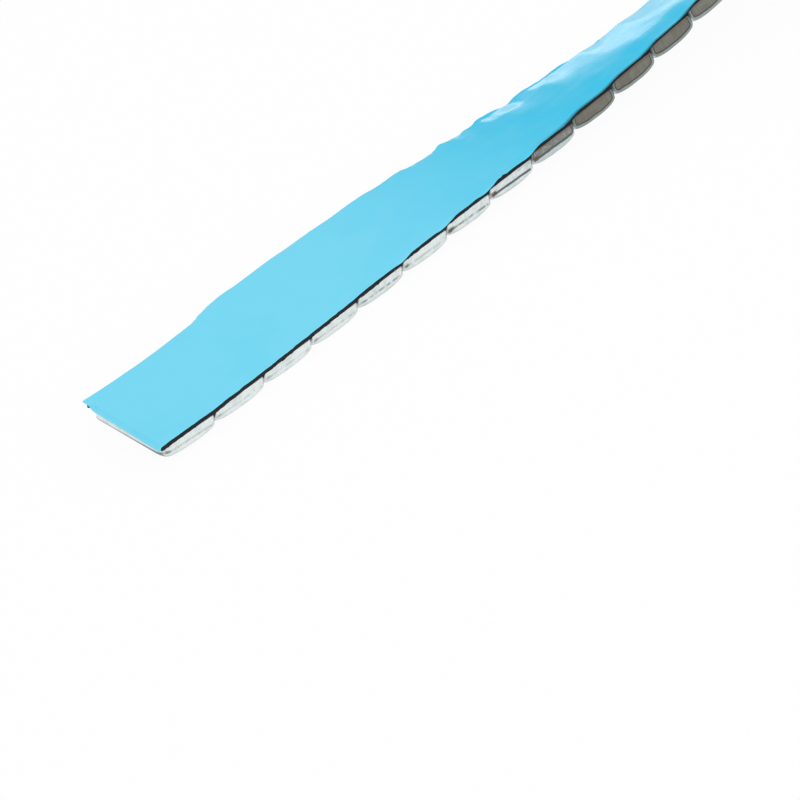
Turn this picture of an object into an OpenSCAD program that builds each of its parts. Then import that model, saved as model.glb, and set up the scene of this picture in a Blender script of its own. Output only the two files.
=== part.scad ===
// Stick-on wheel balance weight: a row of steel segments on one strip of foam tape,
// with a wide release liner over the adhesive. The strip is bowed and twisted, and lies
// on a table as it came to rest, adhesive side up. X runs along the strip and Z is up;
// the origin is on the table, under the middle of the strip. Millimetres and degrees.

/* [Segments] */
// Number of steel segments on the tape
seg_count = 20; // [18:1:24]
// Length of a segment along the tape, over its rounded ends
seg_len = 12.35; // [9:0.05:16]
// Gap between two segments, at their ends
seg_gap = 0.35; // [0.3:0.05:2]
// Width of a segment, from one cut side to the other
seg_w = 17.1; // [12:0.1:20]
// Thickness of a segment
seg_t = 3.4; // [2.6:0.1:5]
// Height by which the underside is rolled up towards each end
belly_rise = 1.35; // [0.4:0.05:2]
// Length of the flat strip that is left in the middle of the underside
belly_flat = 2; // [1:0.1:7]
// How far each end bulges past the flat top
end_bulge = 0.3; // [0.1:0.05:0.6]
// Radius of the lower edges along the cut sides
edge_r = 0.2; // [0.1:0.05:1]
// Radius of the upright corners, seen from above
corner_r = 0.5; // [0.2:0.1:2]
// Slant of the cut sides, seen from above
slant_deg = 5; // [0:0.1:8]
// Turn of each segment on the tape
set_turn_deg = 2.2; // [0:0.1:4]

/* [Foam tape] */
// Thickness of the foam
foam_t = 0.9; // [0.5:0.05:1.6]
// How far the foam stands past the segments on the left; it is flush on the right
foam_over = 1.1; // [0:0.1:4]
// How far the foam runs past the first and the last segment
foam_past = 0.3; // [0.1:0.1:3]
// How much thinner the foam is pressed where a segment stands higher than the next one
press_depth = 0.35; // [0:0.05:0.4]

/* [Release liner] */
// Thickness of the film
liner_t = 0.12; // [0.08:0.01:0.3]
// How far the film stands past the foam on the left, as its free edge
liner_over = 0.6; // [0.4:0.1:4]
// How far the film runs past the foam at both ends
liner_past = 0.5; // [0.2:0.1:3]
// How far the film droops there
end_droop = 0.6; // [0:0.05:0.8]
// Extra width of the free edge, past the cut in it
wing_w = 1.4; // [0:0.1:3]
// Distance of that cut from the near end
wing_start = 28; // [10:1:60]
// Distance over which the free edge narrows again
wing_fade = 74; // [30:1:120]
// Height of the waves in the free edge
wave_h = 0.3; // [0:0.05:0.35]

/* [How the strip lies] */
// Sideways lean of the near end
lean_deg = 8.9; // [0:0.1:12]
// Downward slope of the first segment
nose_dip_deg = 3.3; // [0:0.1:6]
// Twist that builds up along the strip
twist_deg = 41.4; // [0:0.1:50]
// Twist that the far end loses again
untwist_deg = 35; // [0:0.1:50]
// Upward curl that builds up along the strip
curl_deg = 12.6; // [0:0.1:20]
// Downward bend that brings the far end back to the table
fall_deg = 25; // [0:0.1:40]
// Sideways bow of the whole strip
bow_deg = 9.4; // [0:0.1:20]

/* [Hidden] */
// Places along the strip, counted in segments from the near end
nose_n = 0.8;
twist_from_n = 2.4;
twist_to_n = 15.7;
curl_from_n = 6.7;
curl_to_n = 15.7;
back_from_n = 12.5;
// Twist between two segments at which the foam is pressed by the whole press_depth
press_deg = 5;
// Length over which a pressed stretch of foam recovers
press_len = 2.6;
// Length of one wave in the free edge, and where the waves start
wave_len = 36;
wave_from = 74;
// Length of the slanting cut in the free edge
cut_len = 4;
// Flats on each rounded edge
arc_steps = 6;
// What the cutting profiles reach past the segment
spare = 1;

last = seg_count - 1;
seg_pitch = seg_len + seg_gap;
flat_len = seg_len - 2 * end_bulge;
belly_len = (seg_len - belly_flat) / 2;
cut_w = seg_w * cos(slant_deg);
foam_end = seg_len / 2 + foam_past;
film_end = foam_end + liner_past;
right_y = -seg_w / 2;
foam_y = seg_w / 2 + foam_over;
film_y = foam_y + liner_over;

function seg_name(i) = str("segment_", i < 9 ? "0" : "", i + 1);

// Smooth step from 0 to 1
function ease(u) = let (c = min(max(u, 0), 1)) c * c * (3 - 2 * c);

// Attitude of segment i: roll about the strip, pitch upwards, yaw to the side
function going_back(i) = ease((i - back_from_n) / (last - back_from_n));
function roll(i) = lean_deg - twist_deg * ease((i - twist_from_n) / (twist_to_n - twist_from_n))
    + untwist_deg * going_back(i);
function pitch(i) = -nose_dip_deg * exp(-i / nose_n)
    + curl_deg * ease((i - curl_from_n) / (curl_to_n - curl_from_n)) - fall_deg * going_back(i);
function yaw(i) = -bow_deg * pow(i / last, 2);

// Turning matrix of segment i, the same turn as rotate([roll, -pitch, yaw])
function turn(i) = let (a = roll(i), b = -pitch(i), c = yaw(i)) [
    [cos(b) * cos(c), sin(a) * sin(b) * cos(c) - cos(a) * sin(c), cos(a) * sin(b) * cos(c) + sin(a) * sin(c)],
    [cos(b) * sin(c), sin(a) * sin(b) * sin(c) + cos(a) * cos(c), cos(a) * sin(b) * sin(c) - sin(a) * cos(c)],
    [-sin(b), sin(a) * cos(b), cos(a) * cos(b)]];
turns = [for (i = [0:last]) turn(i)];

// The segments follow each other along the tape: where each pitch begins, and its middle
starts = [for (i = 0, p = [0, 0, 0]; i <= last; p = p + turns[i] * [seg_pitch, 0, 0], i = i + 1) p];
mids = [for (i = [0:last]) starts[i] + turns[i] * [seg_pitch / 2, 0, 0]];
function loose(i, p) = mids[i] + turns[i] * p;

// Stations across each segment at which the tape is drawn
function stations(i) = [
    i == 0 ? -foam_end : -flat_len / 2,
    -flat_len / 2 + press_len,
    flat_len / 2 - press_len,
    i == last ? foam_end : flat_len / 2];

// Slope of station k across the tape: it follows the turned ends of the segments, and the
// tape's own two ends run straight across
function slope(i, k) = i == 0 && k == 0 || i == last && k == 3 ? 0 : tan(set_turn_deg);

// Foam height at station k, on the right (side -1) or the left (side 1): it is pressed thinner
// on the corner that stands higher than its neighbour across the gap
function step_deg(i) = i < 1 || i > last ? 0 : roll(i) - roll(i - 1);
function pressed(deg) = press_depth * min(max(deg, 0) / press_deg, 1);
function foam_top(i, k, side) = foam_t
    - (k == 0 ? pressed(side * step_deg(i)) : k == 3 ? pressed(-side * step_deg(i + 1)) : 0);

// Free edge of the film at a distance s from the near end
function wing(s) = wing_w * ease((s - wing_start) / cut_len) * (1 - ease((s - wing_start) / wing_fade));
function wave(s) = wave_h * sin(360 * (s - wave_from) / wave_len) * ease((s - wave_from) / wave_len);

function foam_ring(i, k) = let (
    left_x = stations(i)[k] - foam_y * slope(i, k),
    right_x = stations(i)[k] - right_y * slope(i, k)) [
    [left_x, foam_y, 0],
    [right_x, right_y, 0],
    [right_x, right_y, foam_top(i, k, -1)],
    [left_x, foam_y, foam_top(i, k, 1)]];

// The film at x along segment i, over foam of the heights right_z and left_z
function liner_ring(i, x, m, right_z, left_z) = let (
    s = (i + 0.5) * seg_pitch + x,
    edge_y = film_y + wing(s) + wave(s + wave_len / 4),
    edge_z = left_z + wave(s)) [
    [x - m * edge_y, edge_y, edge_z],
    [x - m * foam_y, foam_y, left_z],
    [x - m * right_y, right_y, right_z],
    [x - m * right_y, right_y, right_z + liner_t],
    [x - m * foam_y, foam_y, left_z + liner_t],
    [x - m * edge_y, edge_y, edge_z + liner_t]];
function placed(i, ring) = [for (p = ring) loose(i, p)];
end_z = foam_t - end_droop;
film = concat(
    placed(0, liner_ring(0, -film_end, 0, end_z, end_z)),
    [for (i = [0:last], k = [0:3]) each placed(i,
        liner_ring(i, stations(i)[k], slope(i, k), foam_top(i, k, -1), foam_top(i, k, 1)))],
    placed(last, liner_ring(last, film_end, 0, end_z, end_z)));

function arc(centre, radii, from, to, first = 0) = [for (k = [first:arc_steps])
    let (a = from + (to - from) * k / arc_steps) centre + [radii.x * cos(a), radii.y * sin(a)]];
function mirrored(half) = concat(half, [for (k = [len(half) - 1:-1:0]) [-half[k].x, half[k].y]]);

// Half of the underside, along the tape and across it
belly = arc([belly_flat / 2, belly_rise - seg_t], [belly_len, belly_rise], -90, 0);
low_edge = arc([cut_w / 2 - edge_r, edge_r - seg_t], [edge_r, edge_r], -90, 0);

// Points of the underside of segment i, on which the strip can rest
function underside(i) = [for (b = mirrored(belly), e = mirrored(low_edge))
    loose(i, on_tape([b.x, e.x / cos(slant_deg) - b.x * tan(slant_deg), max(b.y, e.y)]))];
function on_tape(p) = let (c = cos(set_turn_deg), s = sin(set_turn_deg))
    [c * p.x - s * p.y, s * p.x + c * p.y, p.z];

// The strip is shifted so that it stands on the table, with its footprint centred on the origin
feet = [for (i = [0:last]) each underside(i)];
outline = concat(feet, film);
function lowest(points, axis) = min([for (p = points) p[axis]]);
function highest(points, axis) = max([for (p = points) p[axis]]);
shift = [
    -(lowest(outline, 0) + highest(outline, 0)) / 2,
    -(lowest(outline, 1) + highest(outline, 1)) / 2,
    -lowest(feet, 2)];

// Rolled profile, along the tape: a flat top, bulging ends and an underside rolled up to them
module rolled_profile() {
    polygon(mirrored(concat(
        belly,
        arc([flat_len / 2, belly_rise - seg_t], [end_bulge, seg_t - belly_rise], 0, 90, first = 1))));
}

// Cut profile, across the tape: straight cut sides, a little round at the lower edge
module cut_profile() {
    polygon(mirrored(concat(low_edge, [[cut_w / 2, spare]])));
}

// Seen from above: the ends run straight across, the cut sides at a slant
module plan_profile() {
    x = seg_len / 2 - corner_r;
    y = seg_w / 2 - corner_r / cos(slant_deg);
    drift = x * tan(slant_deg);
    r = [corner_r, corner_r];
    polygon(concat(
        arc([x, y - drift], r, 0, 90 - slant_deg),
        arc([-x, y + drift], r, 90 - slant_deg, 180),
        arc([-x, drift - y], r, 180, 270 - slant_deg),
        arc([x, -y - drift], r, 270 - slant_deg, 360)));
}

// One steel segment, with the middle of its flat top at the origin
module slug() {
    intersection() {
        rotate([90, 0, 0])
            linear_extrude(seg_w + seg_len, center = true)
                rolled_profile();
        rotate([90, 0, 90 - slant_deg])
            linear_extrude(seg_w + seg_len, center = true)
                cut_profile();
        translate([0, 0, -seg_t - spare])
            linear_extrude(seg_t + 2 * spare)
                plan_profile();
    }
}

module segment(i) {
    color("gainsboro")
        translate(mids[i] + shift)
            rotate([roll(i), -pitch(i), yaw(i)])
                rotate([0, 0, set_turn_deg])
                    slug();
}

// Closed skin over rings of m points each, drawn from the left along the underside and back
// along the top; the top is cut into triangles along the same lines as the underside
function skin(rings, m) = concat(
    [for (r = [0:rings - 2], k = [0:m - 1])
        let (a = r * m + k, b = r * m + (k + 1) % m)
        each (k < m / 2 ? [[a, a + m, b + m], [a, b + m, b]] : [[a, a + m, b], [b, a + m, b + m]])],
    [[for (k = [0:m - 1]) k]],
    [[for (k = [m - 1:-1:0]) (rings - 1) * m + k]]);

module foam_tape() {
    color("#202428")
        translate(shift)
            polyhedron(
                [for (i = [0:last], k = [0:3]) each placed(i, foam_ring(i, k))],
                skin(4 * seg_count, 4));
}

module release_liner() {
    color("#6fd3f2")
        translate(shift)
            polyhedron(film, skin(4 * seg_count + 2, 6));
}

for (i = [0:last]) segment(i);
foam_tape();
release_liner();
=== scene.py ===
import bpy, bmesh, math
from mathutils import Matrix, Vector, noise


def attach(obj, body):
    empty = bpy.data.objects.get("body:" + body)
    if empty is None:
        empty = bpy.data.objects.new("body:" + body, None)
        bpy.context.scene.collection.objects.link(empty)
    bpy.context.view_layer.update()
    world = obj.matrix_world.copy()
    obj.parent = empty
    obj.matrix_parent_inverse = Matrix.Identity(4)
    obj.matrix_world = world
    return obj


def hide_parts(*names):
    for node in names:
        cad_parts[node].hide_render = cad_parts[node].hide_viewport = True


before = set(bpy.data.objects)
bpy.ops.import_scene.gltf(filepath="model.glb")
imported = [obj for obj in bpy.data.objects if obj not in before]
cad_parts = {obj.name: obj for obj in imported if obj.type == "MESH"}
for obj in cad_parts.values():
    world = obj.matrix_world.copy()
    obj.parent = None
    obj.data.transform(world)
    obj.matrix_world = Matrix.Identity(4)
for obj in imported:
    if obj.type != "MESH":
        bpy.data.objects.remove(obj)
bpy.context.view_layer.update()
mm = 0.001

# The strip as the solids have it, in millimetres and degrees
strip = {
    "count": 20,          # steel segments
    "pitch": 12.7,        # from one segment to the next
    "segLen": 12.35, "segWidth": 17.1, "segThick": 3.4,
    "slant": 5.0,         # slant of the cut sides, seen from above
    "setTurn": 2.2,       # turn of each segment on the tape
    "foamThick": 0.9, "foamOver": 1.1, "foamPast": 0.3,     # past the steel: on the left, and at the ends
    "filmThick": 0.12, "filmOver": 0.6, "filmPast": 0.5,    # past the foam
    "bendReach": 3.4,     # the tape bends smoothly this far on each side of a gap
}
lastSeg = strip["count"] - 1
pitch = strip["pitch"]
halfLen, halfWidth = strip["segLen"] / 2, strip["segWidth"] / 2
foamTop = strip["foamThick"]
rightY = -halfWidth
foamY = halfWidth + strip["foamOver"]
filmY = foamY + strip["filmOver"]
foamEnd = halfLen + strip["foamPast"]
filmEnd = foamEnd + strip["filmPast"]


def ease(u):
    c = min(max(u, 0.0), 1.0)
    return c * c * (3 - 2 * c)


# The flat faces of a solid, largest first: area, centre, normal
def flatFaces(mesh):
    groups = {}
    for face in mesh.polygons:
        key = tuple(round(c, 2) for c in face.normal)
        area, centre, normal = groups.get(key, (0.0, Vector(), Vector()))
        groups[key] = (area + face.area, centre + face.center * face.area, normal + face.normal * face.area)
    found = [(area, centre / area, normal.normalized()) for area, centre, normal in groups.values()]
    return sorted(found, key=lambda g: -g[0])


# Where each segment lies: its seat is the middle of its flat top, with three directions
def readSeats():
    upright = 0.05    # a side face is one whose normal is this near to level with the top
    tops, sides = [], []
    for i in range(strip["count"]):
        found = flatFaces(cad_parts["segment_%02d" % (i + 1)].data)
        top = found[0]
        tops.append(top)
        sides.append(next(face for face in found[1:] if abs(face[2].dot(top[2])) < upright))
    seats = []
    for i, (top, side) in enumerate(zip(tops, sides)):
        up = top[2]
        across = Matrix.Rotation(math.radians(strip["slant"] - strip["setTurn"]), 3, up) @ side[2]
        across = (across - across.dot(up) * up).normalized()
        ahead = tops[min(i + 1, lastSeg)][1] - tops[min(i, lastSeg - 1)][1]
        if across.cross(up).dot(ahead) < 0:
            across = -across
        seats.append((top[1], across.cross(up).normalized(), across, up))
    return seats


seats = readSeats()
print("seats read:", len(seats))


def onSeat(i, x, y, z):
    centre, along, across, up = seats[i]
    return centre + (along * x + across * y + up * z) * mm


# The segment under distance s from the near end, and the place along it
def segmentAt(s):
    i = min(max(int(s // pitch), 0), lastSeg)
    return i, s - (i + 0.5) * pitch


# A point of the tape at distance s, which goes smoothly from one seat to the next
def onTape(s, y, z):
    i, x = segmentAt(s)
    half, reach = pitch / 2, strip["bendReach"]
    here = onSeat(i, x, y, z)
    if x > half - reach and i < lastSeg:
        w = ease((x - half + reach) / (2 * reach))
        return here.lerp(onSeat(i + 1, x - pitch, y, z), w)
    if x < reach - half and i > 0:
        w = ease((reach - half - x) / (2 * reach))
        return here.lerp(onSeat(i - 1, x + pitch, y, z), w)
    return here


def newPiece(name, points, faces, material, replaced, sharp):
    mesh = bpy.data.meshes.new(name)
    mesh.from_pydata([tuple(p) for p in points], [], faces)
    bm = bmesh.new()
    bm.from_mesh(mesh)
    bmesh.ops.recalc_face_normals(bm, faces=bm.faces)
    bm.to_mesh(mesh)
    bm.free()
    for face in mesh.polygons:
        face.use_smooth = True
    mesh.set_sharp_from_angle(angle=math.radians(sharp))
    mesh.materials.append(material)
    piece = bpy.data.objects.new(name, mesh)
    bpy.context.scene.collection.objects.link(piece)
    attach(piece, "root")
    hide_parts(replaced)
    return piece


# Faces between rings of points, each ring closed
def skinFaces(rings, size, capped=True):
    faces = []
    for r in range(rings - 1):
        for k in range(size):
            a, b = r * size + k, r * size + (k + 1) % size
            faces.append((a, b, b + size, a + size))
    if capped:
        faces.append(tuple(range(size - 1, -1, -1)))
        faces.append(tuple((rings - 1) * size + k for k in range(size)))
    return faces


# Values at the points of a piece, which its material reads
def setAttribute(piece, name, values):
    vectors = isinstance(values[0], tuple)
    attribute = piece.data.attributes.new(name, "FLOAT_VECTOR" if vectors else "FLOAT", "POINT")
    if vectors:
        attribute.data.foreach_set("vector", [c for v in values for c in v])
    else:
        attribute.data.foreach_set("value", values)


def newMaterial(name):
    material = bpy.data.materials.new(name)
    material.use_nodes = True
    tree = material.node_tree
    return material, tree, tree.nodes["Principled BSDF"]


def addNode(tree, kind, values=(), **settings):
    node = tree.nodes.new("ShaderNode" + kind)
    for key, value in settings.items():
        setattr(node, key, value)
    for key, value in dict(values).items():
        node.inputs[key].default_value = value
    return node


# A socket takes a number, a colour or another node's output
def feed(tree, socket, value):
    if isinstance(value, (int, float)):
        socket.default_value = value
    elif isinstance(value, tuple):
        socket.default_value = (*value, 1)
    else:
        tree.links.new(value, socket)


def mathNode(tree, operation, *values, clamp=False):
    node = addNode(tree, "Math", operation=operation, use_clamp=clamp)
    for k, value in enumerate(values):
        feed(tree, node.inputs[k], value)
    return node.outputs[0]


def stepNode(tree, value, low, high, fromTo=(0.0, 1.0)):
    node = addNode(tree, "MapRange", interpolation_type="SMOOTHSTEP")
    tree.links.new(value, node.inputs["Value"])
    node.inputs["From Min"].default_value, node.inputs["From Max"].default_value = low, high
    node.inputs["To Min"].default_value, node.inputs["To Max"].default_value = fromTo
    return node.outputs[0]


def mixColour(tree, amount, first, second):
    node = addNode(tree, "Mix", data_type="RGBA")
    for socket, value in ((0, amount), (6, first), (7, second)):
        feed(tree, node.inputs[socket], value)
    return node.outputs[2]


def noiseNode(tree, place, scale, detail, stretch=(1, 1, 1)):
    mapping = addNode(tree, "Mapping", {"Scale": stretch})
    tree.links.new(place, mapping.inputs["Vector"])
    node = addNode(tree, "TexNoise", {"Scale": scale, "Detail": detail})
    tree.links.new(mapping.outputs[0], node.inputs["Vector"])
    return node.outputs["Fac"]


def bumpNode(tree, height, strength, distance):
    node = addNode(tree, "Bump", {"Strength": strength, "Distance": distance})
    tree.links.new(height, node.inputs["Height"])
    return node.outputs[0]


def attributeNode(tree, name, output="Vector"):
    return addNode(tree, "Attribute", attribute_name=name).outputs[output]


def splitNode(tree, vector):
    node = addNode(tree, "SeparateXYZ")
    tree.links.new(vector, node.inputs[0])
    return node.outputs


# The film by its distance along the tape and across it, in millimetres
filmLook = {
    "near": (0.180, 0.705, 0.920),     # towards the near end, paler: a painted reflection of the white surround
    "far": (0.035, 0.590, 0.880),      # beyond the middle, darker and deeper blue where that painted reflection fades
    "farRange": (50, 132),
    "driftNoise": (0.05, 2.0, (1, 1.6, 1)), "drift": 0.4,    # slow change between the two
    "sheenPale": (0.42, 0.76, 0.88),       # faint cloudy pale patches: a painted sheen
    "cloudNoise": (0.5, 4.0, (0.35, 1, 1)), "sheenRange": (0.4, 0.75), "sheenMost": 0.03,
    "edge": (0.010, 0.100, 0.130),     # painted shade where the film curls down over the black tape's right edge
    "edgeShadeAcross": (-8.05, -8.6), "edgeShadeAlong": (100, 118), "edgeShadeMost": 0.85,
    "roughRange": (0.3, 0.7), "roughness": (0.12, 0.21), "ior": 1.52,
    "rippleNoise": (0.16, 2.0, (0.6, 1, 1)), "rippleStrength": 0.15, "rippleHeight": 0.0004,
}


def filmMaterial():
    material, tree, shader = newMaterial("blueFilm")
    look = filmLook
    tape = attributeNode(tree, "tape")
    place = splitNode(tree, tape)
    drift = mathNode(tree, "SUBTRACT", noiseNode(tree, tape, *look["driftNoise"]), 0.5)
    drift = mathNode(tree, "MULTIPLY", drift, look["drift"])
    # near-to-far change of colour: painted reflection, paler towards the near end
    depth = mathNode(tree, "ADD", stepNode(tree, place["X"], *look["farRange"]), drift, clamp=True)
    colour = mixColour(tree, depth, look["near"], look["far"])
    # cloudy noise: faint pale patches of painted sheen, and the roughness
    cloud = noiseNode(tree, tape, *look["cloudNoise"])
    sheenPatches = stepNode(tree, cloud, *look["sheenRange"], (0.0, look["sheenMost"]))
    colour = mixColour(tree, sheenPatches, colour, look["sheenPale"])
    # painted shade along the film's right edge, where it curls down over the black tape
    edgeShadeAcross = stepNode(tree, place["Y"], *look["edgeShadeAcross"])
    edgeShadeAlong = stepNode(tree, place["X"], *look["edgeShadeAlong"], (0.0, look["edgeShadeMost"]))
    colour = mixColour(tree, mathNode(tree, "MULTIPLY", edgeShadeAcross, edgeShadeAlong), colour, look["edge"])
    tree.links.new(colour, shader.inputs["Base Color"])
    roughness = stepNode(tree, cloud, *look["roughRange"], look["roughness"])
    tree.links.new(roughness, shader.inputs["Roughness"])
    shader.inputs["IOR"].default_value = look["ior"]
    ripples = noiseNode(tree, tape, *look["rippleNoise"])
    bump = bumpNode(tree, ripples, look["rippleStrength"], look["rippleHeight"])
    tree.links.new(bump, shader.inputs["Normal"])
    return material


foamLook = {
    "black": (0.011, 0.012, 0.014),
    "dusty": (0.032, 0.034, 0.036),
    "dustNoise": (1.6, 5.0), "dustRange": (0.45, 0.8), "dustMost": 0.5,
    "roughRange": (0.3, 0.7), "roughness": (0.8, 0.95), "specular": 0.3,
    "cellScale": 5.0, "cellStrength": 0.6, "cellDepth": 0.0001,    # open cells in its surface
}


def foamMaterial():
    material, tree, shader = newMaterial("blackFoam")
    look = foamLook
    tape = attributeNode(tree, "tape")
    cells = addNode(tree, "TexVoronoi", {"Scale": look["cellScale"]})
    tree.links.new(tape, cells.inputs["Vector"])
    dust = noiseNode(tree, tape, *look["dustNoise"])
    dusty = stepNode(tree, dust, *look["dustRange"], (0.0, look["dustMost"]))
    tree.links.new(mixColour(tree, dusty, look["black"], look["dusty"]), shader.inputs["Base Color"])
    tree.links.new(stepNode(tree, dust, *look["roughRange"], look["roughness"]), shader.inputs["Roughness"])
    shader.inputs["Specular IOR Level"].default_value = look["specular"]
    bump = bumpNode(tree, cells.outputs["Distance"], look["cellStrength"], look["cellDepth"])
    tree.links.new(bump, shader.inputs["Normal"])
    return material


steelLook = {
    "zinc": (0.85, 0.91, 0.90),           # bright plating
    "zincDull": (0.66, 0.74, 0.74),       # its duller patches
    "grit": (0.42, 0.44, 0.43),           # fine dark specks
    "shears": (0.47, 0.49, 0.49),         # upright marks that the shears left on a cut face
    "bare": (0.150, 0.142, 0.114),        # cut faces that the plating left bare
    "bareLight": (0.190, 0.194, 0.162),
    "bareSpeck": (0.15, 0.13, 0.105),
    "halfBare": (0.52, 0.60, 0.61),       # plating under the line on a half-bare face
    "under": (0.20, 0.245, 0.245),        # painted shade on the underside and the low parts of the ends
    "gapShade": (0.060, 0.085, 0.085),     # painted shade on the ends, down in the gaps
    "pitDark": (0.070, 0.070, 0.062),
    "rust": (0.125, 0.072, 0.045),
    "line": (0.085, 0.100, 0.105),        # the score line along a cut face
    "rim": (0.40, 0.45, 0.445),           # rolled edge of a cut face
    "rimBare": (0.215, 0.260, 0.248),     # and of a bare one
    "outline": (0.045, 0.038, 0.030),     # dark line round a bare face
    # noises: scale, detail, stretch
    "blotchNoise": (0.5, 4.0), "speckNoise": (3.4, 3.0),
    "shearNoise": (1.5, 3.0, (1, 1, 0.15)), "breakNoise": (0.9, 4.0, (1, 1, 0.2)),
    "fadedMix": (0.6, 0.4),               # faded patches: shares of blotch noise and shear noise
    # where each mark starts and where it is full, in noise from 0 to 1
    "patchRange": (0.42, 0.70), "gritRange": (0.58, 0.70), "shearRange": (0.45, 0.65),
    "fadedRange": (0.40, 0.60), "bareSpeckRange": (0.5, 0.7), "flakeRange": (0.44, 0.60),
    "breakRange": (0.38, 0.54), "rustRange": (0.36, 0.56), "roughRange": (0.3, 0.7),
    # the same, in millimetres inwards from the outline or the ends of a cut face
    "contourStart": (0.24, 0.38), "contourStop": (0.42, 0.60),    # pale line inside the outline
    "bandRange": (-0.05, 0.1), "fadedInward": (0.7, 1.3),
    "cornerRange": (0.15, 0.9), "lineNear": (0.6, 1.2), "lineFar": (0.55, 1.05),
    # the same, in millimetres inwards from the rim
    "faceRange": (-0.05, 0.16), "outlineStart": (-0.12, 0.03), "outlineStop": (0.12, 0.34),
    # the same, in millimetres of height from the segment's top, or along it from its middle
    "underRange": (-1.9, -1.45), "upperRange": (-1.90, -1.73), "cornerUp": (-2.0, -0.5),
    "fringeRange": (-0.35, 0.25), "endUp": (-2.3, -0.8), "endAlong": (5.6, 5.95),
    # the same, by a value from 0 to 1 that the mesh holds
    "bandCut": (0.3, 0.8), "lineWhole": (0.7, 0.9), "rustByDull": (0.30, 0.42),
    # how strongly a mark shows, and how much more on a dull segment
    "patchMost": 0.6, "patchByDull": 0.7, "gritByDull": (0.30, 0.5), "contourByDull": (0.12, 0.7),
    "shearByDull": (0.04, 0.4), "gapShadeByDull": (0.3, 1.0), "underMost": 0.95, "bareSpeckMost": 0.45,
    "rimMost": 0.9, "halfBareMost": 0.9, "flakeMost": 0.6, "outlineMost": 0.9, "cornerMost": 0.85,
    "fringeMost": 0.7,
    # sizes and places in millimetres, and how far noise moves an edge
    "cornerR": 1.25, "rimWide": 0.50, "rimWideMore": 0.28, "rimWave": 0.35,    # rim, wider on bare faces
    "lineZ": -1.85, "lineSide": (0.104, 0.416), "lineWave": 0.3,               # score line
    "pitX": -4.95, "pitZ": -1.75, "pitRange": (0.05, 0.55), "pitWave": 1.1,    # rusty pit at its near end
    "fringeWave": 0.9,
    # what is left of the line in a break, how flat the pit is, and how it grows with wear
    "breakLeast": 0.2, "pitFlat": 0.6, "pitPower": 4.0, "pitGrow": 0.18,
    # gloss, and relief with its height in metres
    "metallic": 0.3, "metallicLess": 0.25, "roughness": (0.36, 0.5), "roughMore": 0.2,
    "speckHeight": 0.3, "outlineDepth": 0.6, "bumpStrength": 0.6, "bumpHeight": 0.00007,
}


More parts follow.
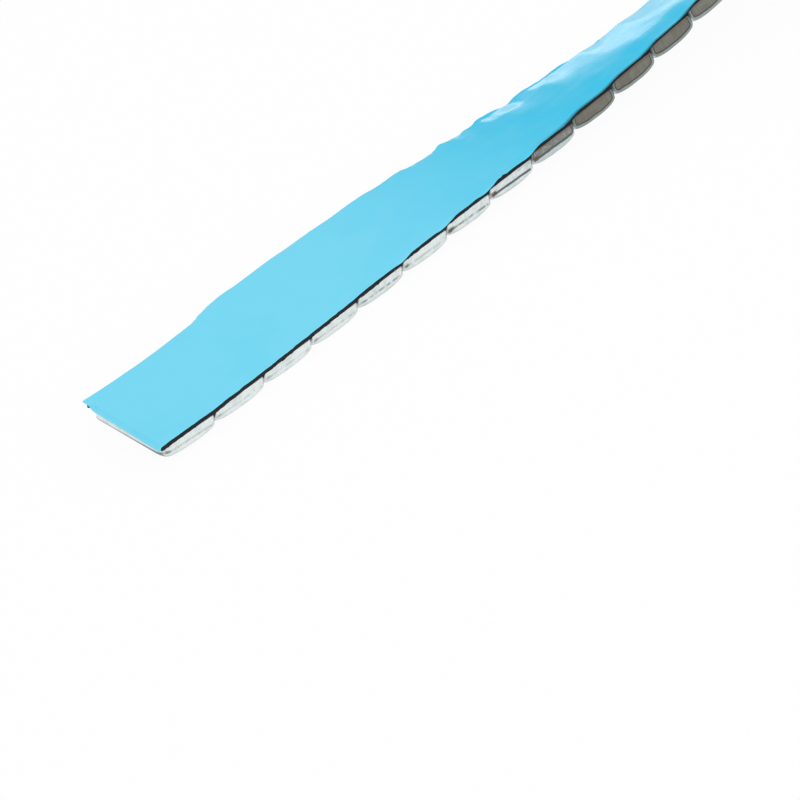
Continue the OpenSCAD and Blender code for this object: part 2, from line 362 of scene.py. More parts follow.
def steelMaterial():
    material, tree, shader = newMaterial("zincSteel")
    look = steelLook

    def times(*values):
        result = values[0]
        for value in values[1:]:
            result = mathNode(tree, "MULTIPLY", result, value)
        return result

    def plus(first, second):
        return mathNode(tree, "ADD", first, second)

    def minus(first, second):
        return mathNode(tree, "SUBTRACT", first, second)

    def larger(first, second):
        return mathNode(tree, "MAXIMUM", first, second)

    def distance(first, second):
        return mathNode(tree, "SQRT", plus(times(first, first), times(second, second)))

    def jitter(value, name):
        return times(minus(value, 0.5), look[name])

    def rise(value, name, most=1.0):
        return stepNode(tree, value, *look[name], (0.0, most))

    def fall(value, name):
        return stepNode(tree, value, *look[name], (1.0, 0.0))

    def byDull(name):
        least, more = look[name]
        return mathNode(tree, "ADD", least, times(dullAmount, more), clamp=True)

    def paint(below, amount, name):
        return mixColour(tree, amount, below, look[name])

    seat = attributeNode(tree, "seat")
    place = splitNode(tree, seat)
    x, z = place["X"], place["Z"]
    lineAmount, pitAmount, bareAmount = splitNode(tree, attributeNode(tree, "wear"))
    bareTop, dullAmount, fringeAmount = splitNode(tree, attributeNode(tree, "stain"))
    fromNear, fromFar, fromLow = splitNode(tree, attributeNode(tree, "inward"))
    cut = attributeNode(tree, "cut", "Fac")
    unique = addNode(tree, "VectorMath", operation="ADD")    # so that no two segments look alike
    tree.links.new(seat, unique.inputs[0])
    tree.links.new(attributeNode(tree, "lot"), unique.inputs[1])
    here = unique.outputs[0]
    blotch = noiseNode(tree, here, *look["blotchNoise"])
    speck = noiseNode(tree, here, *look["speckNoise"])
    shear = noiseNode(tree, here, *look["shearNoise"])

    # plating, with dull patches and grit
    patches = rise(blotch, "patchRange", look["patchMost"])
    patches = mathNode(tree, "ADD", patches, times(dullAmount, look["patchByDull"]), clamp=True)
    colour = mixColour(tree, patches, look["zinc"], look["zincDull"])
    colour = paint(colour, times(rise(speck, "gritRange"), byDull("gritByDull")), "grit")

    # the outline of the cut face, followed inwards: rolled edge, then the face itself
    fromEnd = mathNode(tree, "MINIMUM", fromNear, fromFar)
    cornerX = larger(minus(look["cornerR"], fromEnd), 0.0)
    cornerZ = larger(minus(look["cornerR"], fromLow), 0.0)
    inward = minus(look["cornerR"], distance(cornerX, cornerZ))
    rimWidth = plus(look["rimWide"], times(bareAmount, look["rimWideMore"]))
    pastRim = minus(plus(inward, jitter(blotch, "rimWave")), rimWidth)
    contour = times(rise(inward, "contourStart"), fall(inward, "contourStop"), cut)
    colour = paint(colour, times(contour, byDull("contourByDull")), "rim")
    # painted shade on the underside and the lower ends, away from the cut faces
    under = times(fall(z, "underRange"), minus(1.0, cut))
    colour = paint(colour, times(under, look["underMost"]), "under")

    # upper part of the cut face: duller, with shear marks
    upper = times(cut, rise(z, "upperRange"))
    marks = times(rise(shear, "shearRange"), byDull("shearByDull"))
    colour = paint(colour, times(upper, marks), "shears")

    # bare face inside the rolled edge, or only the upper part of it
    inside = rise(pastRim, "faceRange")
    bareHere = larger(bareAmount, times(bareTop, upper))
    bareMask = times(inside, cut, bareHere)
    blotchPart, shearPart = look["fadedMix"]
    faded = rise(plus(times(blotch, blotchPart), times(shear, shearPart)), "fadedRange")
    bareColour = paint(look["bare"], times(faded, rise(inward, "fadedInward")), "bareLight")
    bareColour = paint(bareColour, rise(speck, "bareSpeckRange", look["bareSpeckMost"]), "bareSpeck")
    edgeBand = times(rise(inward, "bandRange"), rise(cut, "bandCut"), bareAmount)
    colour = paint(colour, times(edgeBand, look["rimMost"]), "rimBare")
    lower = times(inside, cut, minus(1.0, upper), bareTop)
    colour = paint(colour, times(lower, look["halfBareMost"]), "halfBare")
    colour = mixColour(tree, bareMask, colour, bareColour)
    flakes = times(rise(speck, "flakeRange"), upper, inside, bareTop)    # plating left on it
    colour = paint(colour, times(flakes, look["flakeMost"]), "rim")
    outline = times(rise(pastRim, "outlineStart"), fall(pastRim, "outlineStop"), cut, bareHere)
    colour = paint(colour, times(outline, look["outlineMost"]), "outline")
    # painted shade at the top corners of a bare cut face, next to the gaps
    corner = times(fall(fromEnd, "cornerRange"), rise(z, "cornerUp"), cut, bareHere)
    colour = paint(colour, times(corner, look["cornerMost"]), "gapShade")
    fringeUp = plus(z, times(blotch, look["fringeWave"]))
    fringe = times(rise(fringeUp, "fringeRange"), cut, fringeAmount)
    colour = paint(colour, times(fringe, look["fringeMost"]), "rust")

    # score line along the cut face, broken here and there
    offLine = mathNode(tree, "ABSOLUTE", minus(plus(z, jitter(blotch, "lineWave")), look["lineZ"]))
    reach = times(rise(fromNear, "lineNear"), rise(fromFar, "lineFar"))
    breaks = noiseNode(tree, here, *look["breakNoise"])
    breaks = stepNode(tree, breaks, *look["breakRange"], (look["breakLeast"], 1.0))
    breaks = larger(breaks, rise(lineAmount, "lineWhole"))
    line = times(fall(offLine, "lineSide"), reach, breaks, cut, lineAmount)
    colour = paint(colour, line, "line")

    # the pit at its near end
    pitX = times(minus(x, look["pitX"]), look["pitFlat"])
    offPit = plus(distance(pitX, minus(z, look["pitZ"])), jitter(speck, "pitWave"))
    grown = times(mathNode(tree, "POWER", pitAmount, look["pitPower"]), look["pitGrow"])
    pit = times(fall(minus(offPit, grown), "pitRange"), cut, pitAmount)
    rusty = times(rise(dullAmount, "rustByDull"), rise(speck, "rustRange"))
    colour = mixColour(tree, pit, colour, paint(look["pitDark"], rusty, "rust"))

    # painted shade on the ends, down in the gaps, more on a dull segment
    endShade = times(rise(mathNode(tree, "ABSOLUTE", x), "endAlong"), rise(z, "endUp"))
    endShade = times(endShade, byDull("gapShadeByDull"), attributeNode(tree, "gapSide", "Fac"))
    colour = paint(colour, endShade, "gapShade")
    tree.links.new(colour, shader.inputs["Base Color"])

    worn = larger(bareMask, larger(line, pit))
    metallic = mathNode(tree, "SUBTRACT", look["metallic"], times(worn, look["metallicLess"]), clamp=True)
    tree.links.new(metallic, shader.inputs["Metallic"])
    roughness = stepNode(tree, blotch, *look["roughRange"], look["roughness"])
    tree.links.new(plus(roughness, times(worn, look["roughMore"])), shader.inputs["Roughness"])
    height = plus(times(shear, upper), times(speck, look["speckHeight"]))
    height = minus(height, plus(line, pit))
    height = minus(height, times(outline, look["outlineDepth"]))
    tree.links.new(bumpNode(tree, height, look["bumpStrength"], look["bumpHeight"]), shader.inputs["Normal"])
    return material


film = filmMaterial()
foam = foamMaterial()
steel = steelMaterial()
print("materials made: film, foam, steel")


# Steel segments: flat-topped slugs, rolled up underneath and cut at a slant
slug = {
    "bellyRise": 1.35, "bellyFlat": 2.0,    # underside: rise towards the ends, flat middle
    "bellySteps": 10, "endSteps": 7,
    "endBulge": 0.3,                        # how far the ends bulge past the flat top
    "edgeR": 0.38,                          # rounding round the cut faces
    "edgeTurns": (90, 60, 30, 0),           # degrees at which it has points
    "acrossParts": (-0.93, -0.88, -0.8, -0.4, 0.0, 0.4, 0.8, 0.88, 0.93),
    "faceRows": 9,                          # rows of faces on a cut face
    "rough": 0.03, "roughGrow": (1.1, 1.4), "roughLane": (31.7, 9.0),    # unevenness of the cut faces
    "wornEnd": 0.6, "wornR": 2.2,           # the first one is worn thin and round at its near end
    "wornFrom": -3.2, "wornLength": 3.0, "wornLean": (0.6, 0.05),
    "lot": (17.3, 5.1, 9.7),                # shift of the material from one segment to the next
    "sharp": 42,                            # edges above this angle stay sharp, in degrees
}
# On the visible cut face, segment by segment: line, pit, bare metal; bare upper part, dullness, rusty fringe
segmentWear = {
    1: ((0.30, 0.65, 0.0), (0.0, 0.22, 0.0)), 2: ((0.20, 0.55, 0.0), (0.0, 0.18, 0.0)),
    3: ((0.25, 0.35, 0.0), (0.0, 0.20, 0.0)), 4: ((0.30, 0.45, 0.0), (0.0, 0.30, 0.0)),
    5: ((0.60, 0.30, 0.0), (0.0, 0.50, 0.0)), 6: ((0.30, 0.80, 0.0), (0.0, 0.34, 0.0)),
    7: ((0.70, 1.00, 0.0), (0.0, 0.45, 0.0)), 8: ((1.00, 1.00, 0.0), (0.0, 0.60, 0.2)),
    9: ((1.00, 1.00, 0.0), (0.95, 0.90, 0.8)), 10: ((0.10, 0.30, 1.0), (0.0, 0.6, 0.5)),
    11: ((0.10, 0.20, 1.0), (0.0, 0.6, 0.8)), 12: ((0.10, 0.20, 1.0), (0.0, 0.6, 0.5)),
    13: ((0.10, 0.20, 0.9), (0.0, 0.6, 0.4)), 14: ((0.5, 0.5, 0.4), (0.4, 0.5, 0.4)),
}
plainWear = ((0.5, 0.6, 0.0), (0.0, 0.35, 0.1))
topHalf = halfLen - slug["endBulge"]
endTall = strip["segThick"] - slug["bellyRise"]
farAway = 9.0    # millimetres, for the end of a cut face that a point isn't near


# Side view of a slug: the chain of points from its near top corner, under it, to its far top corner
def slugChain():
    rise, flat, bulge = slug["bellyRise"], slug["bellyFlat"] / 2, slug["endBulge"]
    right = []
    for k in range(slug["bellySteps"] + 1):    # underside, from the middle flat up to the end
        a = math.pi / 2 * k / slug["bellySteps"]
        right.append((flat + (halfLen - flat) * math.sin(a), -endTall - rise * math.cos(a)))
    for k in range(1, slug["endSteps"] + 1):    # end, from its widest level up to the top corner
        a = math.pi / 2 * k / slug["endSteps"]
        right.append((halfLen - bulge + bulge * math.cos(a), -endTall * (1 - math.sin(a))))
    middle = [(flat * (k / 3), right[0][1]) for k in range(-2, 3)]
    return [(-x, z) for x, z in reversed(right)] + middle + right


# Places across a slug: y, how far its outline is drawn in there, and how much it is cut face
def slugStations():
    r, edge = slug["edgeR"], []
    for a in (math.radians(turn) for turn in slug["edgeTurns"]):
        cut = math.sin(a)
        edge.append((-halfWidth + r * (1 - cut), r * (1 - math.cos(a)), cut))
    inner = [(halfWidth * part, 0.0, 0.0) for part in slug["acrossParts"]]
    return edge + inner + [(-y, inset, cut) for y, inset, cut in reversed(edge)]


# How far a point of a cut face is from the end of that face
def endDistance(x, z):
    wide = halfLen
    if z > -endTall:
        wide = topHalf + slug["endBulge"] * math.sqrt(max(1 - ((z + endTall) / endTall) ** 2, 0))
    return max(wide - abs(x), 0.0)


# Height of the underside at x
def bellyAt(x):
    flat = slug["bellyFlat"] / 2
    u = min(max((abs(x) - flat) / (halfLen - flat), 0), 1)
    return -strip["segThick"] + slug["bellyRise"] * (1 - math.sqrt(1 - u * u))


# The near end of the first slug: rounder corners, and thinner, most of all on the left
def wornDown(x, across, z):
    r = slug["wornR"]
    dx, dy = max(r - halfLen - x, 0.0), max(abs(across) - halfWidth + r, 0.0)
    outside = math.hypot(dx, dy) / r
    if outside > 1:
        x += dx * (1 - 1 / outside)
        across -= math.copysign(dy * (1 - 1 / outside), across)
    middle, lean = slug["wornLean"]
    amount = ease((slug["wornFrom"] - x) / slug["wornLength"]) * (middle + lean * across)
    z -= slug["wornEnd"] * z / strip["segThick"] * amount
    return x, across, z


def buildSegment(i, chain, stations):
    lean = math.tan(math.radians(strip["slant"]))
    turn = math.radians(strip["setTurn"])
    cosT, sinT = math.cos(turn), math.sin(turn)
    (growX, growZ), (laneX, laneY) = slug["roughGrow"], slug["roughLane"]
    n, rows = len(chain), slug["faceRows"]
    loop = chain + [(x / halfLen * topHalf, 0.0) for x, z in chain[-2:0:-1]]
    local, cuts = [], []

    def add(x, across, z, cut):
        side = 1 if across > 0 else -1
        spot = Vector((x * growX + i * laneX, side * laneY, z * growZ))
        bump = slug["rough"] * cut * noise.noise(spot)
        if i == 0:
            x, across, z = wornDown(x, across, z)
        local.append((x, across - x * lean + side * bump, z))
        cuts.append(cut)

    # loops across the slug, with the edges round the cut faces rounded off
    for across, inset, cut in stations:
        for k, (x, z) in enumerate(loop):
            if k < n:
                before, after = loop[max(k - 1, 0)], loop[min(k + 1, n - 1)]
                tx, tz = after[0] - before[0], after[1] - before[1]
                size = math.hypot(tx, tz)
                x, z = x - tz / size * inset, min(z + tx / size * inset, 0.0)
            else:
                x = x * (1 - inset / halfLen)
            add(x, across, z, cut)
    faces = skinFaces(len(stations), len(loop), capped=False)

    # the two cut faces, meshed in columns from the top down to the underside
    for base, across in ((0, stations[0][0]), ((len(stations) - 1) * len(loop), stations[-1][0])):
        columns = []
        for j in range(1, n - 1):
            top, low = base + n + (n - 2 - j), base + j
            column = [top]
            xt, zt = local[top][0], local[top][2]
            xl, zl = local[low][0], local[low][2]
            for k in range(1, rows):
                add(xt + (xl - xt) * k / rows, across, zt + (zl - zt) * k / rows, 1.0)
                column.append(len(local) - 1)
            columns.append(column + [low])
        for first, second in zip(columns, columns[1:]):
            for k in range(rows):
                faces.append((first[k], first[k + 1], second[k + 1], second[k]))
        for corner, column in ((base, columns[0]), (base + n - 1, columns[-1])):
            faces += [(corner, column[k], column[k + 1]) for k in range(rows)]

    points = [onSeat(i, x * cosT - y * sinT, x * sinT + y * cosT, z) for x, y, z in local]
    name = "segment_%02d" % (i + 1)
    piece = newPiece(name + "_steel", points, faces, steel, name, slug["sharp"])
    wear, stain = segmentWear.get(i + 1, plainWear)
    inward, gapSide = [], []
    for x, y, z in local:
        end = endDistance(x, z)
        inward.append((end if x < 0 else farAway, end if x > 0 else farAway, z - bellyAt(x)))
        gapSide.append(0.0 if (i == 0 and x < 0) or (i == lastSeg and x > 0) else 1.0)
    setAttribute(piece, "seat", local)
    setAttribute(piece, "cut", cuts)
    setAttribute(piece, "inward", inward)
    setAttribute(piece, "gapSide", gapSide)
    setAttribute(piece, "wear", [wear] * len(local))
    setAttribute(piece, "stain", [stain] * len(local))
    setAttribute(piece, "lot", [tuple(i * shift for shift in slug["lot"])] * len(local))


chain, stations = slugChain(), slugStations()
for i in range(strip["count"]):
    buildSegment(i, chain, stations)
print("steel segments:", strip["count"])


# Foam tape: its underside lies on the segments, its top carries the film
foamEdge = {
    "step": 0.25,                            # distance between the stations
    "columns": 14,
    "roundR": 0.3,                           # its long edges are rounded
    "roundRows": (0.47, 0.31, 0.16, 0.0),    # points on the round, by length from its start
    "sideRows": (0.15, 0.38),                # and on the side under it, by height
    "raggedRows": ((0.03, 1.0), (-0.02, 0.6)),    # and on the lower edge: inwards, part of its depth
    "underIn": 0.12, "topIn": 0.5,           # how far in from the side the underside and the top start
    "toothDepth": 0.21, "toothGrow": (1.6, 5.3), "toothLevel": (0.3, 1.1),    # ragged lower edge
    "overhang": 0.05,                        # how far that edge stands out past the steel
    "wave": 0.05, "waveGrow": (0.8, 1.9),    # waves of its side
    "gapLump": 0.95, "gapHalf": 0.85,        # foam pressed down into each gap, on the outside
    "plugDepth": 0.76, "plugHalf": 0.5,      # and inside
    "tipHang": 0.5,                          # its near left corner hangs down
    "tipStart": 1.4, "tipLength": 0.8, "tipWide": 0.9, "tipSlope": 0.5,
    "calm": (62, 110), "calmTeeth": 0.7, "calmLumps": 0.25,    # the edge gets calmer over these distances
    "tears": ((93.6, 0.9, 0.13), (92.2, 0.6, 0.05)),    # torn lumps: at, half length, height
    "tearOut": 0.1, "tearBack": 0.6,         # how far they stand out sideways, and are felt on the top
    "sharp": 60,
}


# Distances from the near end at which the tape or the film has a ring of points
def tapeStations(endPast, step):
    start, stop = pitch / 2 - endPast, (strip["count"] - 0.5) * pitch + endPast
    n = round((stop - start) / step)
    return [start + (stop - start) * k / n for k in range(n + 1)]


# A value that goes smoothly from knot to knot: each knot is a distance and the value there
def profileAt(knots, s):
    for (s0, v0), (s1, v1) in zip(knots, knots[1:]):
        if s <= s1:
            return v0 + (v1 - v0) * ease((s - s0) / (s1 - s0))
    return knots[-1][1]


# Smooth noise along the tape, between -1 and 1: finer with a larger grow, and different in each lane
def ripple(s, grow, lane):
    return noise.noise(Vector((s * grow, lane, 0.5)))


# How far the edge has calmed down, from 0 to 1
def calmAt(s):
    low, high = foamEdge["calm"]
    return ease((s - low) / (high - low))


def toothAt(s):
    slow, fast = foamEdge["toothGrow"]
    level, swing = foamEdge["toothLevel"]
    n = ripple(s, slow, 3.1) + 0.5 * ripple(s, fast, 7.7)
    depth = foamEdge["toothDepth"] * (1 - foamEdge["calmTeeth"] * calmAt(s))
    return depth * max(0.0, level + swing * n)


def tearAt(s):
    return sum(high * ease(1 - abs(s - at) / half) for at, half, high in foamEdge["tears"])


# How near a station is to a gap between two segments, from 0 to 1
def gapness(s, half):
    if s < pitch * 0.5 or s > (lastSeg + 0.5) * pitch:
        return 0.0
    return ease(1 - abs(s - pitch * round(s / pitch)) / half)


# The right edge seen from its end: across the top, round the corner, down the side
def edgePath(length, outY):
    r = foamEdge["roundR"]
    quarter = r * math.pi / 2
    if length < 0:
        return outY + r - length, foamTop
    if length < quarter:
        a = length / r
        return outY + r * (1 - math.sin(a)), foamTop - r * (1 - math.cos(a))
    return outY, foamTop - r - (length - quarter)


def sideOut(s):
    return rightY - foamEdge["overhang"] + foamEdge["wave"] * ripple(s, foamEdge["waveGrow"][0], 11.0)


# Small rises and dips of the tape's top, in millimetres: it crowns and rolls off where the strip twists
drape = {
    "crown": 0.24, "crownHalf": 9, "crownFrom": 95, "crownFull": 120,
    # the right margin rolls down: at distances from the near end
    "margin": ((0, 0.0), (118, 0.0), (132, 0.22), (150, 0.32), (155, 0.28), (158.5, 0.04), (161, 0.22),
               (166, 0.32), (190, 0.2), (255, 0.1)),
    "marginWide": 5.5,
    # a crease near the free edge: from, to, where across, slope
    "creases": ((107, 119, 6.4, 0.12), (121, 127, 7.2, 0.07), (98, 103, 7.6, 0.08)),
    "creaseFade": 3,
}


def drapeAt(s, y):
    on = ease((s - drape["crownFrom"]) / (drape["crownFull"] - drape["crownFrom"]))
    height = -drape["crown"] * on * (y / drape["crownHalf"]) ** 2
    inY = (y - rightY) / drape["marginWide"]
    if inY < 1:
        height -= profileAt(drape["margin"], s) * (1 - ease(inY))
    for start, stop, across, slope in drape["creases"]:
        if start < s < stop and y > across:
            fade = ease((s - start) / drape["creaseFade"]) * ease((stop - s) / drape["creaseFade"])
            height -= slope * fade * (y - across)
    return height


def buildFoam():
    edge = foamEdge
    points, tape = [], []
    columns = edge["columns"]
    stations = tapeStations(foamEnd, edge["step"])
    for s in stations:
        i, x = segmentAt(s)
        lump = edge["gapLump"] * gapness(s, edge["gapHalf"]) * (1 - edge["calmLumps"] * calmAt(s))
        plug = edge["plugDepth"] * gapness(s, edge["plugHalf"])
        tooth, tear, outY = toothAt(s), tearAt(s), sideOut(s)
        nearEnd = ease(edge["tipStart"] - (s - stations[0]) / edge["tipLength"])
        row = []
        for k in range(columns + 1):    # underside, from the left to the right
            y = foamY + (rightY + edge["underIn"] - foamY) * k / columns
            hang = edge["tipHang"] * nearEnd * ease((y - foamY + edge["tipWide"]) / edge["tipSlope"])
            row.append((onSeat(i, x, y, -plug - hang), y, 0.0))
        for inwards, part in edge["raggedRows"]:
            row.append((onSeat(i, x, outY + inwards, -max(tooth, lump) * part), outY, -tooth))
        squeeze = 1 + drapeAt(s, outY) / (foamTop - edge["roundR"])
        for z in edge["sideRows"]:
            y = outY - edge["wave"] * ripple(s, edge["waveGrow"][1], z * 7)
            row.append((onTape(s, y, z * squeeze), outY, z))
        for length in edge["roundRows"]:
            y, z = edgePath(length, outY)
            lift = tear * (1 - length) + drapeAt(s, y)
            row.append((onTape(s, y - edge["tearOut"] * tear, z + lift), y, z))
        for k in range(columns + 1):    # top, from the right to the left
            y = outY + edge["topIn"] + (foamY - outY - edge["topIn"]) * k / columns
            lift = drapeAt(s, y) + (tear * edge["tearBack"] if k == 0 else 0.0)
            row.append((onTape(s, y, foamTop + lift), y, foamTop))
        points += [point for point, y, z in row]
        tape += [(s, y, z) for point, y, z in row]
    faces = skinFaces(len(stations), len(row))
    piece = newPiece("foam_strip", points, faces, foam, "foam_tape", edge["sharp"])
    setAttribute(piece, "tape", tape)


buildFoam()
print("foam tape built")


# Release liner: a film with a free, wavy left edge, whose right edge folds over the foam's
filmEdge = {
    "step": 0.5,
    "columns": 34, "freeColumns": 6, "foldColumns": 6,
    # how far the left edge stands out past the foam, at distances from the near end
    "left": ((0, 0.6), (2, 0.47), (5, 0.37), (8, 0.33), (11, 0.33), (15, 0.3), (18, 0.25), (21, 0.3),
             (24, 0.37), (27.3, 0.44), (28.8, 0.67), (29.8, 1.03), (30.8, 1.14), (31.8, 1.29), (32.5, 1.45),
             (34, 1.55), (36, 1.67), (38, 1.64), (40, 1.49), (43, 1.47), (46, 1.47), (50, 1.45), (54, 1.37),
             (57, 1.32), (60, 1.22), (62, 1.13), (65, 1.17), (68, 1.24), (71, 1.2), (74, 1.06), (77, 1.06),
             (80, 1.03), (82, 0.97), (84, 0.92), (85.5, 0.72), (87, 0.18), (89, -0.18), (91, -0.2),
             (93, -0.21), (95, 0.27), (97, 0.75), (98.5, 0.12), (100, -0.44), (102, 0.12), (104, 0.56),
             (106, 0.3), (108, 0.73), (110, 1.15), (113, 0.95), (117, 1.05), (121, 0.95), (124, 0.55),
             (126.5, 0.1), (128, 0.5), (130.5, 1.15), (133, 0.95), (135, 0.1), (137, -0.9), (139, -1),
             (141.5, -0.3), (144, 0.1), (146.5, -0.75), (150, -1.25), (153, -1.5), (156, -1.6), (160, -1.7),
             (164, -1.2), (170, -0.3), (190, 0.8), (215, 0.6), (255, 0.8)),
    # where the free edge stands up a little
    "rise": ((0, 0), (103, 0), (111, 0.30), (118, 0.22), (124, 0.1), (131, 0), (255, 0)),
    # how far the right edge reaches along the foam's rounded edge: mid-segment, and more at the gaps
    "fold": ((0, 0.20), (56, 0.20), (64, 0.27), (100, 0.30), (112, 0.30), (130, 0.24), (160, 0.24),
             (190, 0.24), (255, 0.1)),
    "foldAtGaps": ((0, 0.0), (58, 0.05), (66, 0.30), (104, 0.30), (116, 0.05), (255, 0.05)),
    "foldGapHalf": 3.6,
    "foldWaves": ((0.45, 31.0, 0.04), (1.5, 33.0, 0.025)),    # its waves: how fine, which lane of noise, size
    "foldTear": 1.1,       # it draws back where the foam is torn
    "foldStart": -0.3,     # it is modelled finely from here
    "least": 0.15, "dip": 0.8,    # the film is at least this wide past the foam; less is a dip instead
    "droop": 0.85,         # how far the ends droop past the foam
    "droopRight": 0.85, "droopIn": 0.8, "droopOver": 1.2,    # less at the left: by how much, and where
    "curl": 0.30, "curlGrow": 0.12, "curlFrom": 60, "curlOver": 40,    # waves of the free edge, up and down
    "clear": 0.004,        # its underside lies this far above the foam
    "sharp": 60,
}

# Long soft folds that run at a small angle along the film, from the free edge to the right
folds = {
    "from": 100, "full": 130,        # distances from the near end where they start and are full
    "height": 0.035, "length": 17.0,
    "lag": 1.4,                      # how far they lie back for each millimetre across
    "wander": 1.3,
    "fadeRight": 3, "fadeLeft": 4,   # they fade over this width at the two sides
}


def foldHeight(s, y):
    phase = (s - (filmY - y) * folds["lag"]) / folds["length"]
    wave = math.sin(2 * math.pi * phase + folds["wander"] * ripple(s, 0.05, 21.0))
    on = ease((s - folds["from"]) / (folds["full"] - folds["from"]))
    return folds["height"] * on * (0.5 + 0.5 * wave)


# How far the film reaches round the foam's right edge: s is the station, d the distance from the film's end
def foldReach(s, d):
    atGaps = profileAt(filmEdge["foldAtGaps"], d) * gapness(s, filmEdge["foldGapHalf"])
    waves = sum(size * ripple(s, grow, lane) for grow, lane, size in filmEdge["foldWaves"])
    return profileAt(filmEdge["fold"], d) + atGaps + waves - filmEdge["foldTear"] * tearAt(s)


def buildFilm():
    columns, freeColumns, foldColumns = (filmEdge[key] for key in ("columns", "freeColumns", "foldColumns"))
    stations = tapeStations(filmEnd, filmEdge["step"])
    begin, roundR = filmEdge["foldStart"], foamEdge["roundR"]
    points, tape = [], []
    for s in stations:
        d = s - stations[0]
        past = max(strip["filmPast"] - d, s - stations[-1] + strip["filmPast"], 0.0) / strip["filmPast"]
        outY, reach = sideOut(s), foldReach(s, d)
        row = []    # y, height above the foam, and which way the film's outside looks
        for k in range(foldColumns):    # right edge, folded over the foam's
            length = begin + (reach - begin) * (foldColumns - k) / foldColumns
            y, z = edgePath(length, outY)
            a = min(max(length / roundR, 0), math.pi / 2)
            row.append((y, z - foamTop, -math.sin(a), math.cos(a)))
        startY = outY + roundR - begin
        for k in range(columns + 1):
            row.append((startY + (foamY - startY) * k / columns, 0.0, 0.0, 1.0))
        left = profileAt(filmEdge["left"], d)
        edge, dip = foamY + max(left, filmEdge["least"]), min(left - filmEdge["least"], 0.0)
        curl = filmEdge["curl"] * ripple(s, filmEdge["curlGrow"], 4.0)
        curl *= ease((s - filmEdge["curlFrom"]) / filmEdge["curlOver"])
        for k in range(1, freeColumns + 1):    # free edge
            u = k / freeColumns
            lift = (curl + profileAt(filmEdge["rise"], d)) * u * u
            row.append((foamY + (edge - foamY) * u, lift + dip * u * filmEdge["dip"], 0.0, 1.0))
        for lift, side in ((filmEdge["clear"], row), (strip["filmThick"], row[::-1])):
            for y, z, outwardY, outwardZ in side:
                right = ease((foamY - filmEdge["droopIn"] - y) / filmEdge["droopOver"])
                sag = filmEdge["droop"] * past * past * (1 + filmEdge["droopRight"] * (right - 1))
                inner = ease((y - startY) / folds["fadeRight"]) * ease((foamY + 0.5 - y) / folds["fadeLeft"])
                height = z + foldHeight(d, y) * inner + drapeAt(s, y) - sag + outwardZ * lift
                points.append(onTape(s, y + outwardY * lift, foamTop + height))
                tape.append((s, y, lift))
    faces = skinFaces(len(stations), 2 * len(row))
    piece = newPiece("liner_film", points, faces, film, "release_liner", filmEdge["sharp"])
    setAttribute(piece, "tape", tape)
    return piece


liner = buildFilm()
# the strip of film as it was cut
print("release liner built")


# Floor, light and camera
studio = {
    "world": 0.92,
    "skyGlow": 0.30, "rimGlow": 1.0,        # what glossy surfaces see: overhead, and low round the horizon
    "glowRange": (0.08, 0.30),
    "keyPower": 1.5, "keySize": (0.7, 0.7), "keyAt": (-0.25, -0.75, 0.70),
    "backPower": 0.58, "backSize": (0.90, 0.16), "backAt": (0.70, 0.78, 0.055),
    "keyColour": (1.0, 1.0, 1.0), "backColour": (1.0, 0.83, 0.72),
    "floor": (0.88, 0.88, 0.88), "floorGlow": 0.95, "floorRough": 0.9, "floorHalf": 6.0,
    "cameraAt": (-0.3532192, -0.3068625, 0.2906377),
    "cameraTurn": (52.41812942, 8.46829753, -49.43622635),
    "lens": 123.896, "sensor": 36, "clip": (0.01, 50),
}


def floorMaterial():
    material, tree, shader = newMaterial("paleFloor")
    shader.inputs["Base Color"].default_value = (*studio["floor"], 1)
    shader.inputs["Roughness"].default_value = studio["floorRough"]
    shader.inputs["Specular IOR Level"].default_value = 0.0
    path = addNode(tree, "LightPath").outputs
    glow = addNode(tree, "Emission", {"Color": (1, 1, 1, 1), "Strength": 1.0})
    seen = mathNode(tree, "MAXIMUM", path["Is Glossy Ray"], path["Is Transmission Ray"])
    seen = mathNode(tree, "MAXIMUM", path["Is Camera Ray"], seen)
    mix = addNode(tree, "MixShader")
    tree.links.new(mathNode(tree, "MULTIPLY", seen, studio["floorGlow"]), mix.inputs[0])
    tree.links.new(shader.outputs[0], mix.inputs[1])
    tree.links.new(glow.outputs[0], mix.inputs[2])
    tree.links.new(mix.outputs[0], tree.nodes["Material Output"].inputs["Surface"])
    return material


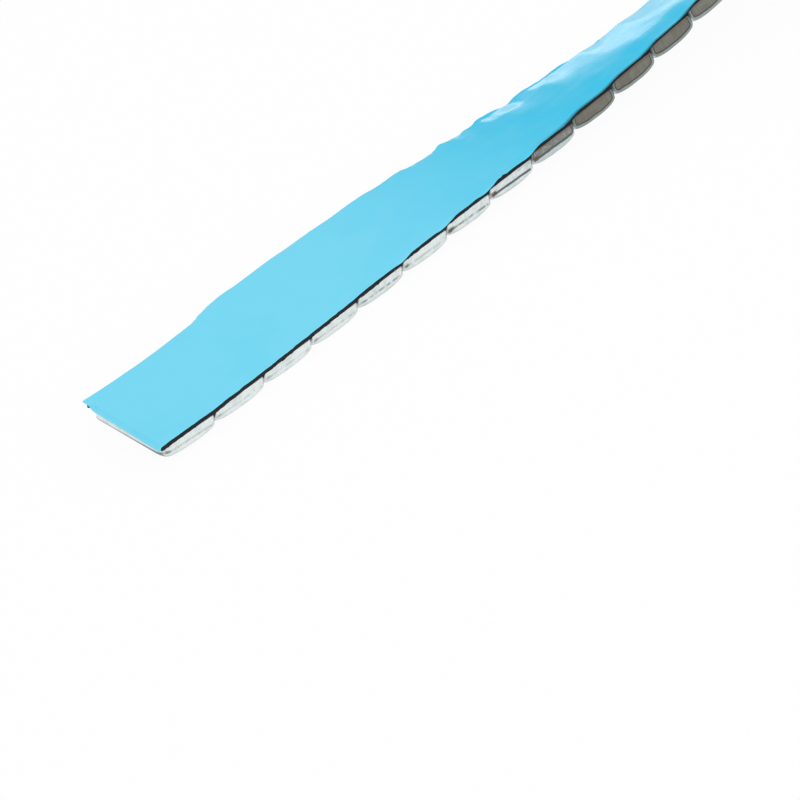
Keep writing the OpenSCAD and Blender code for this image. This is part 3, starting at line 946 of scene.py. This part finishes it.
def buildFloor():
    half = studio["floorHalf"]
    corners = [(-half, -half, 0), (half, -half, 0), (half, half, 0), (-half, half, 0)]
    mesh = bpy.data.meshes.new("floor")
    mesh.from_pydata(corners, [], [(0, 1, 2, 3)])
    mesh.materials.append(floorMaterial())
    floor = bpy.data.objects.new("floor", mesh)
    bpy.context.scene.collection.objects.link(floor)


def buildWorld():
    world = bpy.data.worlds.new("studio")
    bpy.context.scene.world = world
    world.use_nodes = True
    tree = world.node_tree
    back = tree.nodes["Background"]
    back.inputs["Color"].default_value = (1, 1, 1, 1)
    path = addNode(tree, "LightPath").outputs
    where = splitNode(tree, addNode(tree, "TexCoord").outputs["Generated"])
    glossy = stepNode(tree, where["Z"], *studio["glowRange"], (studio["rimGlow"], studio["skyGlow"]))
    seen = mathNode(tree, "MAXIMUM", path["Is Camera Ray"], path["Is Transmission Ray"])
    plain = stepNode(tree, seen, 0.0, 1.0, (studio["world"], 1.0))
    mix = addNode(tree, "Mix", data_type="FLOAT")
    tree.links.new(path["Is Glossy Ray"], mix.inputs[0])
    tree.links.new(plain, mix.inputs[2])
    tree.links.new(glossy, mix.inputs[3])
    tree.links.new(mix.outputs[0], back.inputs["Strength"])


# A soft lamp that looks at the middle of the strip
def addLamp(name):
    lamp = bpy.data.objects.new(name, bpy.data.lights.new(name, "AREA"))
    bpy.context.scene.collection.objects.link(lamp)
    lamp.data.shape = "RECTANGLE"
    lamp.data.size, lamp.data.size_y = studio[name + "Size"]
    lamp.data.energy = studio[name + "Power"]
    lamp.data.color = studio[name + "Colour"]
    lamp.location = studio[name + "At"]
    lamp.rotation_euler = (-lamp.location).to_track_quat("-Z", "Y").to_euler()


def buildCamera():
    camera = bpy.data.objects.new("camera", bpy.data.cameras.new("camera"))
    bpy.context.scene.collection.objects.link(camera)
    camera.location = studio["cameraAt"]
    camera.rotation_euler = [math.radians(a) for a in studio["cameraTurn"]]
    camera.data.lens = studio["lens"]
    camera.data.sensor_width = studio["sensor"]
    camera.data.clip_start, camera.data.clip_end = studio["clip"]
    bpy.context.scene.camera = camera


buildCamera()
buildFloor()
buildWorld()
addLamp("key")
addLamp("back")
bpy.context.scene.view_settings.view_transform = "Standard"
print("studio built")
